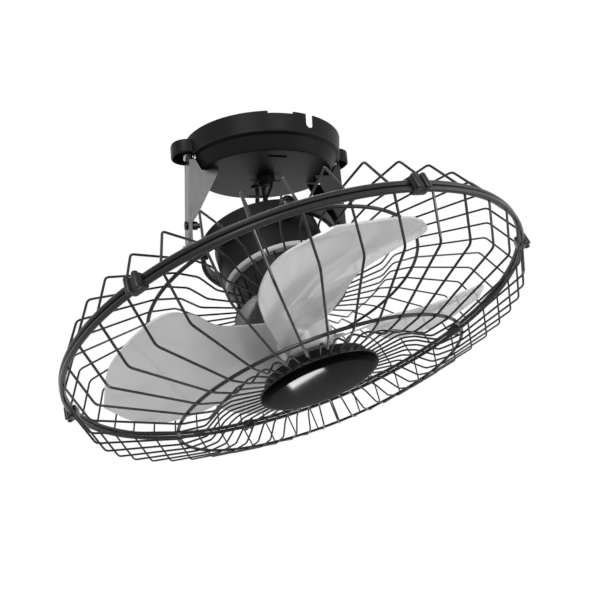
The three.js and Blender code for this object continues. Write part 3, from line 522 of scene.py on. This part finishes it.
# %% Screws on the mounting
BAR_SCREW_X = 48
ARM_SCREW_Z = -16
STOP_SCREW_Z = -101
PIVOT_RADIUS = 4                       # bolts of all four pivots
PIVOT_HOLE = 4.3
PIVOT_Y, PIVOT_Z = 7, -130             # the arms' pivots
BOLT_HEAD_X = 101.3                    # where a washer lies on the arm's foot
for side, label in ((-1, "left"), (1, "right")):
    bar_screw = gather(rod(3, -10.9, -2.6), pan_head(5, 4, -6.6, -1))
    hand_over(moved(bar_screw, side * BAR_SCREW_X, 0, 0), f"bar_screw_{label}_made", "mounting", steel,
              f"bar_screw_{label}")
    arm_screw = gather(rod(4, 85.5, 95.4), pan_head(7, 4, 95.3))
    hand_over(along_x(arm_screw, side, 0, ARM_SCREW_Z), f"arm_screw_{label}_made", "mounting", steel,
              f"arm_screw_{label}")
    stop_face = 99.26                  # outer face of the web at the stop screw
    stop_screw = gather(rod(3, stop_face - 15, stop_face + 1), hexagon(9.2, stop_face + 0.3, stop_face + 3.3),
                        rod(5, stop_face - 11.5, stop_face - 5.5, 0.8))
    hand_over(along_x(stop_screw, side, 0, STOP_SCREW_Z), f"stop_screw_{label}_made", "mounting", black_steel,
              f"stop_screw_{label}")
    bolt = gather(rod(PIVOT_RADIUS, 77.3, BOLT_HEAD_X + 1), rod(9, BOLT_HEAD_X, BOLT_HEAD_X + 1.2, 0.2, 48),
                  hexagon(12.1, BOLT_HEAD_X + 1, BOLT_HEAD_X + 4.5, 0, 0.8))
    hand_over(along_x(bolt, side, PIVOT_Y, PIVOT_Z), f"pivot_bolt_{label}_made", "mounting", steel,
              f"pivot_bolt_{label}")
    nut = hexagon(13, 92.75, 97.75, PIVOT_HOLE)
    hand_over(along_x(nut, side, PIVOT_Y, PIVOT_Z), f"pivot_nut_{label}_made", "mounting", steel,
              f"pivot_nut_{label}")

# %% [markdown]
# ## Stem and swivel
# A short tube hangs in the middle, held by a large nut with a thin wire pin through it. Three bent
# wires run from its collar down to a ball, and the arm of the motor's crank ends under that ball.

# %% Stem, nut and swivel post
NUT_TOP = -39.1
NUT_BOTTOM = -46.6
PIN_Z = NUT_BOTTOM + 3.5
BALL_Z, BALL_RADIUS = -70, 5
LEG_RADIUS = 1.7
refined("stem", "mounting", steel, 0.3)
nut = gather(hexagon(21, NUT_BOTTOM, NUT_TOP, STEM_HOLE, 1.1),
             ring(9.5, STEM_HOLE + 0.05, NUT_BOTTOM - 1.5, NUT_BOTTOM + 0.4, 64))
hand_over(nut, "stem_nut_made", "mounting", black_paint, "stem_nut")
pin = swept([(-20, 0, PIN_Z), (0, 0, PIN_Z), (20, 0, PIN_Z)], 1, 12)
hand_over(pin, "cross_pin_made", "mounting", black_steel, "cross_pin")

post = [rod(3.8, -50.6, -43.6), rod(9, -51.3, -48.9), rod(3.2, -67.5, -60.5), rod(2.5, -52, -47.1)]
moved(post[2], 0, PIVOT_Y, 0)
knob = bmesh.new()
bmesh.ops.create_uvsphere(knob, u_segments=32, v_segments=16, radius=BALL_RADIUS * MM,
                          matrix=Matrix.Translation(Vector((0, PIVOT_Y, BALL_Z)) * MM))
for angle in (-150, -30, 90):
    x, y = math.cos(math.radians(angle)), math.sin(math.radians(angle))
    leg = [(7 * x, 7 * y, -50.2), (6.4 * x, 6.4 * y + 1, -53),
           (1.75 * x, PIVOT_Y + 1.75 * y, -63.5), (x, PIVOT_Y + y, -66)]
    post.append(swept(rounded_path(leg, 2), LEG_RADIUS, 12))
tab = block((18, 5, 2), (-12, PIVOT_Y, -62), 0.4)
hand_over(gather(*post, knob, tab), "swivel_post_made", "mounting", black_paint, "swivel_post")

# %% [markdown]
# ## Gimbal
# The gimbal is a flat steel band with four welded bosses. The arms' bolts pass through two of
# them and the motor's through the other two, each in a brass bush.

# %% Gimbal ring and its bushes
def boss_turned(bm, angle):
    """Turns a piece drawn along Z so that it points out along X, then round to that angle."""
    return turn(turn(bm, 90, "Y"), angle)


BAND_OUTER, BAND_INNER, BAND_HALF = 84.5, 79, 8
BOSS_INNER, BOSS_OUTER, BOSS_RADIUS = 77, 86, 10
BUSH_RADIUS, BUSH_FLANGE_RADIUS, BUSH_FLANGE = 7, 10, 1.8
ARM_FLANGE = 86.3                      # where an arm's bush has its flange, outside the band
HEAD_FLANGE = 74.9                     # and the motor's, inside the band
band = ring(BAND_OUTER, BAND_INNER, -BAND_HALF, BAND_HALF, 160, 1.0)
for angle in (0, 90, 180, 270):
    band = worked(band, boss_turned(rod(BOSS_RADIUS, BOSS_INNER, BOSS_OUTER, 0.8, 48), angle), "UNION")
for angle in (0, 90, 180, 270):
    band = worked(band, boss_turned(rod(BUSH_RADIUS + 0.3, BOSS_INNER - 3, BOSS_OUTER + 4, 0, 48), angle))
hand_over(band, "gimbal_ring_made", "gimbal", black_paint, "gimbal_ring", GIMBAL)
arm_sleeve = (BOSS_INNER, ARM_FLANGE + BUSH_FLANGE, ARM_FLANGE)
head_sleeve = (HEAD_FLANGE, BOSS_OUTER + 1, HEAD_FLANGE)
for label, angle, (start, end, flange) in (
        ("arm_bush_left", 180, arm_sleeve), ("arm_bush_right", 0, arm_sleeve),
        ("head_bush_near", 270, head_sleeve), ("head_bush_far", 90, head_sleeve)):
    bush = gather(ring(BUSH_RADIUS, PIVOT_HOLE, start, end, 48, 0.3),
                  ring(BUSH_FLANGE_RADIUS, PIVOT_HOLE + 0.05, flange, flange + BUSH_FLANGE, 48, 0.3))
    hand_over(boss_turned(bush, angle), f"{label}_made", "gimbal", brass, label, GIMBAL)

# %% [markdown]
# ## Motor
# The motor is a thick drum. Its rear cover is a shallow pressed dome with slots, the front carries
# a grey plate cut by short slots, and ahead of that a ribbed drum reaches to the rear guard.

# %% Motor housing
MOTOR_RADIUS, MOTOR_WALL = 66, 4
MOTOR_FRONT, MOTOR_REAR = -36, 9
COVER_TOP = 30.5
BEARING_SEAT = 11.3
CORD_ENTRY_Y = 46.5                    # where the supply cord enters the rear cover
body = ring(MOTOR_RADIUS, MOTOR_RADIUS - MOTOR_WALL, MOTOR_FRONT, MOTOR_REAR, 160, 1.0)
for angle in (90, 270):
    body = worked(body, boss_turned(rod(9, 62.5, 74.3, 0.8, 48), angle), "UNION")
    body = worked(body, boss_turned(rod(PIVOT_HOLE, 55, 90, 0), angle))
hand_over(body, "motor_body_made", "head", black_paint, "motor_body", HEAD)

cover = turned([
    (MOTOR_RADIUS, MOTOR_REAR + 0.3), (65.5, 13.3), (62.6, 21), (59.4, 26.5), (57, 29.4), (53.6, COVER_TOP),
    (BEARING_SEAT, COVER_TOP), (BEARING_SEAT, 12), (15, 12), (15, COVER_TOP - 3), (53, COVER_TOP - 3),
    (61, 12.3), (61, MOTOR_REAR + 0.3),
], 144, 0.6)
for i in range(6):
    vent = pressed([(42.5, -2), (52.5, -2), (52.5, 2), (42.5, 2)], 20, 36, 1.7, 0)
    cover = worked(cover, turn(vent, 60 * i))
cover = worked(cover, moved(rod(4.3, 15, 40, 0), 0, CORD_ENTRY_Y, 0))
hand_over(cover, "rear_cover_made", "head", black_paint, "rear_cover", HEAD)

plate = turned([
    (BEARING_SEAT, -32.3), (BEARING_SEAT, -44.3), (16.3, -44.3), (17.3, -39.3), (50, -39.3), (54, -41.3),
    (64.5, -41.3), (MOTOR_RADIUS, -39.6), (MOTOR_RADIUS, -36.3), (16.3, -36.3), (16.3, -32.3),
], 144, 0.4)
PLATE_SLOTS = 16
for i in range(PLATE_SLOTS):
    slot = pressed([(54.8, -1.3), (63.4, -1.3), (63.4, 1.3), (54.8, 1.3)], -50, -30, 1.1, 0)
    plate = worked(plate, turn(slot, 360 / PLATE_SLOTS * i))
hand_over(plate, "slotted_ring_made", "head", grey_paint, "slotted_ring", HEAD)

drum = turned([
    (54, -41.6), (58, -42.4), (58.5, -43.1), (57.5, -70), (55, -80.5), (21.7, -80.5), (21.7, -86.5),
    (16.7, -86.5), (16.7, -77.5), (52, -77.5), (51, -41.6),
], 144, 0.7)
RIB_COUNT = 24
rib = block((3, 1.8, 36), (58, 0, -59.8), 0.5)
round_about(rib, RIB_COUNT)
turn(rib, HEAD_TURN)
hand_over(gather(drum, rib), "front_cover_made", "head", black_plastic, "front_cover", HEAD)

# %% [markdown]
# ## Gearbox and crank
# A flat round box on the motor's back holds two gear steps. Its last shaft carries the crank,
# whose flat arm ends under the swivel's ball.

# %% Gearbox, crank and small fittings on the head
CASE_RADIUS = 39
CASE_FLOOR, CASE_TOP = 30.8, 41.5
AXLE_HOLE, AXLE_X = 1.8, 19            # the layshaft's holes in the box and its lid
box_wall = turned([
    (6, CASE_FLOOR), (CASE_RADIUS, CASE_FLOOR), (CASE_RADIUS, CASE_TOP), (36.6, CASE_TOP), (36.6, 33),
    (6, 33),
], 120, 0.4)
box_wall = worked(box_wall, moved(rod(AXLE_HOLE, 25, 40, 0, 24), AXLE_X, 0, 0))
hand_over(box_wall, "gear_case_made", "head", black_paint, "gear_case", HEAD)
lid = worked(ring(CASE_RADIUS, PIVOT_HOLE, CASE_TOP + 0.3, CASE_TOP + 2.8, 120, 0.5),
             moved(rod(AXLE_HOLE, 38, 50, 0, 24), AXLE_X, 0, 0))
hand_over(lid, "gear_lid_made", "head", black_paint, "gear_lid", HEAD)
refined("crank_arm", "crank", steel, 0.5)
refined("crank_shaft", "crank", steel, 0.3)
for node in ("head_pivot_bolt_near", "head_pivot_bolt_far"):
    side = -1 if node.endswith("near") else 1
    bolt = gather(rod(PIVOT_RADIUS, MOTOR_RADIUS - MOTOR_WALL, BOSS_OUTER + 2.3),
                  pan_head(8.5, 4.5, BOSS_OUTER + 1.3))
    hand_over(boss_turned(bolt, 90 * side), f"{node}_made", "head", black_steel, node, HEAD)

# %% [markdown]
# ## Guards
# Each half of the guard is forty-four steel wires welded to rings. Every wire has the same bends,
# so one is swept along its path and repeated round the axis. The rims are thicker wire, held
# together by six spring clips.

# %% Guards
WIRE_COUNT = 44
WIRE_RADIUS = 1.05
RIM_RADIUS, RIM_WIRE, RIM_OFFSET = 250, 2.5, 2.7
WIRE_PHASE = 100.9                     # angle of one wire about the head's axis, degrees
BEND_REACH = 7                         # how far a bend runs to each side of its corner, mm
MIDDLE_FRONT, MIDDLE_REAR, HUB_HOOP = 156, 160.9, 66
# bends of one wire as (radius, height ahead of the ring plane)
front_bends = [(RIM_RADIUS, 3.15), (232.3, 40.6), (MIDDLE_FRONT, 60.6), (130, 61), (121, 54.6), (111, 47.3),
               (99.5, 43.3), (HUB_HOOP, 44)]
rear_bends = [(RIM_RADIUS, -3.15), (236, -40.7), (MIDDLE_REAR, -61.8), (133, -63), (114, -51.5),
              (HUB_HOOP, -49.6)]


def cage(bends, hoops):
    """All the wires of one half, and its rings as (radius, height, wire radius)."""
    corners = [(radius, 0, RING_PLANE - height) for radius, height in bends]
    wires = round_about(swept(rounded_path(corners, BEND_REACH), WIRE_RADIUS, 8, 3), WIRE_COUNT)
    turn(wires, -WIRE_PHASE)
    rings = [hoop(radius, RING_PLANE - height, wire) for radius, height, wire in hoops]
    return [wires, *rings]


front = cage(front_bends, [
    (RIM_RADIUS, RIM_OFFSET, RIM_WIRE), (MIDDLE_FRONT, 58.4, 1.7), (HUB_HOOP, 44, 1.8)])
hand_over(gather(*front), "front_guard_wires", "head", black_wire, "front_guard", HEAD)
rear = cage(rear_bends, [(RIM_RADIUS, -RIM_OFFSET, RIM_WIRE), (MIDDLE_REAR, -59.4, 2.0)])
hub_plate = turned([
    (22.3, -80.8), (60, -80.8), (68, -80.8), (68, -82.8), (60, -82.8), (22.3, -82.8),
], 132, 0.4)
hand_over(gather(*rear, hub_plate), "rear_guard_wires", "head", black_wire, "rear_guard", HEAD)

knobs = round_about(moved(rod(4, -1.7, 1.7, 0.5, 24), 31, 0, -84.8), 6)
hand_over(gather(ring(33, 22, -86.5, -83.1, 96, 0.6), knobs), "guard_nut_made", "head", black_plastic,
          "guard_nut", HEAD)
CLIP_ANGLES = (30, 80, 131.5, 185.5, 259.5, 341)
for i, angle in enumerate(CLIP_ANGLES, 1):
    clip = worked(block((10, 15, 12.4), (RIM_RADIUS + 0.5, 0, RING_PLANE), 2.2),
                  block((2 * RIM_WIRE + 0.8, 30, 4 * RIM_WIRE + 0.8), (RIM_RADIUS - 0.3, 0, RING_PLANE), 1.5))
    lobes = [moved(rod(2.6, -7, 7, 1.2, 24), RIM_RADIUS + 5.2, y, RING_PLANE) for y in (-4.2, 4.2)]
    hand_over(turn(gather(clip, *lobes), -(angle + HEAD_TURN)), f"rim_clip_{i}_made", "head", black_wire,
              f"rim_clip_{i}", HEAD)

# %% [markdown]
# ## Badge
# A glossy disc closes the middle of the front guard, on a dish that grips the wires. On the real
# fan it carries print; here it stays plain.

# %% Badge and its dish
cap = turned([
    (0, -177), (64, -177), (66.2, -177), (67.2, -178), (65.6, -180.3), (61.4, -182.2), (58, -182.7),
    (30, -183.0), (0, -183.2),
], 160, 0.35, loop=False)
hand_over(cap, "badge_cap_made", "head", gloss_black, "badge_cap", HEAD)
dish = worked(turned([
    (0, -163.5), (40, -161), (54, -160.2), (58.6, -162.5), (61, -173.5), (58.5, -173.5), (56.2, -164.5),
    (53, -162.6), (41, -163.4), (8, -165.5), (8, -176.7), (0, -176.7),
], 144, 0.5, loop=False), rod(2.3, -185, -150, 0, 24))
hand_over(dish, "badge_dish_made", "head", black_plastic, "badge_dish", HEAD)
badge_screw = gather(rod(2, -173.9, -160.8), pan_head(4.5, 2.5, -161.2))
hand_over(badge_screw, "badge_screw_made", "head", steel, "badge_screw", HEAD)

# %% [markdown]
# ## Propeller
# Four broad blades sweep forward and overlap at the hub. A blade is a sheet between its two edges:
# a grid is laid between the curves, given a little camber, and thickened.

# %% Blades and hub
BLADE_COUNT = 4
BLADE_THICKNESS = 2.0
CAMBER = 5.0
leading = [(26, 172, 13), (68, 131, 15), (107, 123, 16), (145, 119, 19), (184, 115, 16), (209, 107.5, 8),
           (221, 95, 3)]
trailing = [(26, 15, -20), (68, 57, -21), (107, 63.5, -24), (145, 57, -26), (184, 57.5, -19), (209, 74, -5.5),
            (221, 95, 3)]


def edge_point(edge, share):
    """A point on a blade's edge, whose knots are given as (radius, angle, height)."""
    knots = []
    for radius, angle, height in edge:
        around = -math.radians(angle + HEAD_TURN)
        knots.append(Vector((radius * math.cos(around), radius * math.sin(around), RING_PLANE - height)))
    return smooth_point(knots, share)


blade = bmesh.new()
bmesh.ops.create_grid(blade, x_segments=28, y_segments=48, size=0.5)
for vertex in blade.verts:
    across, out = vertex.co.x + 0.5, vertex.co.y + 0.5
    out = min(out, 0.995)
    front_edge, rear_edge = edge_point(leading, out), edge_point(trailing, out)
    point = front_edge.lerp(rear_edge, across)
    point.z += CAMBER * math.sin(math.pi * across) * math.sin(math.pi * min(1, out * 1.05)) ** 0.7
    vertex.co = point * MM
bmesh.ops.recalc_face_normals(blade, faces=blade.faces)
bmesh.ops.solidify(blade, geom=blade.faces[:], thickness=BLADE_THICKNESS * MM)
bmesh.ops.recalc_face_normals(blade, faces=blade.faces)
soften(blade, 0.7, 3, 40)
round_about(blade, BLADE_COUNT)

hub = turned([
    (5.3, -87.2), (31, -87.2), (33, -89.2), (33, -141.2), (30.5, -145.6), (28, -147.2), (13, -147.2),
    (13, -145.2), (5.3, -145.2),
], 128, 0.6)
hand_over(gather(hub, blade), "propeller_made", "rotor", grey_blade, "propeller", HEAD)
cone = gather(ring(13, 5.3, -153.5, -147.5, 64, 0.8), hexagon(16, -156, -152, 5.3, 0.6))
hand_over(cone, "spinner_nut_made", "rotor", black_plastic, "spinner_nut", HEAD)
refined("shaft", "rotor", steel, 0.2)

# %% [markdown]
# ## The supply cord
# A short flex runs from a grommet in the canopy's floor to one in the motor. It is made in two
# lengths: the upper one runs from the canopy to the gimbal, the lower one from the gimbal to the
# motor, and they meet end to end.

# %% Supply cord
CORD_RADIUS = 2.8
route = [Vector(point) for point in (
    (0, 38, -41.5), (0, 38, -50), (-1, 45, -70), (-3.5, 60, -90), (-5, 67.3, -106), (-3.8, 63, -118.2))]


def cord_length(points):
    return sum((b - a).length for a, b in zip(points, points[1:])) * MM


halves = (("upper", 0.0, 0.5, ("mounting", "gimbal")), ("lower", 0.5, 1.0, ("gimbal", "head")))
for label, start, end, ends in halves:
    points = [smooth_point(route, start + (end - start) * i / 24) for i in range(25)]
    flex = as_object(swept(points, CORD_RADIUS, 16, 2), f"supply_cord_{label}")
    flex.data.polygons.foreach_set("use_smooth", [True] * len(flex.data.polygons))
    flex.data.set_sharp_from_angle(angle=math.radians(50))
    flex.data.materials.append(rubber)
    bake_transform(flex)
    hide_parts("supply_cord")
    print(flex.name, "length, mm:", round(cord_length(points) * 1000, 1))

# %% [markdown]
# ## What stays as packed
# The works inside the motor and the canopy hardly show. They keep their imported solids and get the
# finish of the real thing.

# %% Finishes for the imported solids
inner = {
    "stator_core": steel, "winding": copper, "bearing_rear": steel, "bearing_front": steel,
    "rotor_core": steel, "layshaft_gear": white_plastic, "terminal_block": white_plastic,
    "capacitor": black_plastic, "cord_grommet": rubber, "motor_grommet": rubber,
}
for node, paint in inner.items():
    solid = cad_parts[node]
    solid.data.materials.clear()
    solid.data.materials.append(paint)
    print(node, "keeps its solid, in", paint.name)

# %% [markdown]
# ## Light and background
# Three large soft lamps light the fan at a plain level. A smaller one in front is mirrored by the
# arm's flange, and a narrow strip below by the badge. The room behind is full white to the camera and
# to reflections, and white at a lower strength to all other rays, so it also adds some even light.

# %% World, floor and lamps
FLOOR_Z = -0.95
AMBIENT = 0.45


def white_to_the_eye(tree):
    """One where a camera, glossy or transmission ray arrives, otherwise nought."""
    path = add(tree, "ShaderNodeLightPath")
    seen = add(tree, "ShaderNodeMath", {0: path.outputs["Is Camera Ray"], 1: path.outputs["Is Glossy Ray"]},
               operation="ADD", use_clamp=True)
    seen = add(tree, "ShaderNodeMath", {0: seen.outputs[0], 1: path.outputs["Is Transmission Ray"]},
               operation="ADD", use_clamp=True)
    return seen.outputs[0]


world = bpy.data.worlds.new("studio")
bpy.context.scene.world = world
world.use_nodes = True
tree = world.node_tree
background = tree.nodes["Background"]
background.inputs["Color"].default_value = (1, 1, 1, 1)
level = add(tree, "ShaderNodeMapRange", {0: white_to_the_eye(tree), 3: AMBIENT, 4: 1.0})
tree.links.new(level.outputs[0], background.inputs["Strength"])

floor_bm = bmesh.new()
bmesh.ops.create_grid(floor_bm, x_segments=1, y_segments=1, size=6)
moved(floor_bm, 0, 0, FLOOR_Z * 1000)
floor = as_object(floor_bm, "floor")
floor_paint = bpy.data.materials.new("pale_floor")
floor_paint.use_nodes = True
tree = floor_paint.node_tree
matt = tree.nodes["Principled BSDF"]
matt.inputs["Base Color"].default_value = linear("e6e6e6")
matt.inputs["Roughness"].default_value = 0.9
glow = add(tree, "ShaderNodeEmission", {"Color": (1, 1, 1, 1), "Strength": 1.0})
mixed = add(tree, "ShaderNodeMixShader", {0: white_to_the_eye(tree), 1: matt.outputs[0], 2: glow.outputs[0]})
tree.links.new(mixed.outputs[0], tree.nodes["Material Output"].inputs["Surface"])
floor.data.materials.append(floor_paint)


def soft_lamp(name, place, aim, size, power):
    """An area lamp of that size in metres and power in watts, aimed at a point."""
    lamp = bpy.data.objects.new(name, bpy.data.lights.new(name, "AREA"))
    bpy.context.scene.collection.objects.link(lamp)
    lamp.location = place
    lamp.rotation_mode = "QUATERNION"
    lamp.rotation_quaternion = (Vector(aim) - Vector(place)).to_track_quat("-Z", "Y")
    lamp.data.shape = "DISK"
    lamp.data.size = size
    lamp.data.energy = power
    return lamp


middle = (0, -0.05, -0.2)
soft_lamp("key", (-1.2, -1.5, 0.95), middle, 1.0, 28)
soft_lamp("fill", (1.5, -1.3, -0.3), middle, 1.2, 10)
soft_lamp("back", (0.5, 1.6, 1.0), middle, 1.2, 16)
soft_lamp("front", (0.12, -1.19, 0.05), middle, 0.35, 6)
badge_middle = (-0.01, -0.10, -0.285)
strip = soft_lamp("strip", (0.335, 0.43, -0.80), badge_middle, 0.11, 0.8)
strip.data.shape, strip.data.size_y = "RECTANGLE", 0.045
bpy.context.scene.view_settings.view_transform = "Standard"
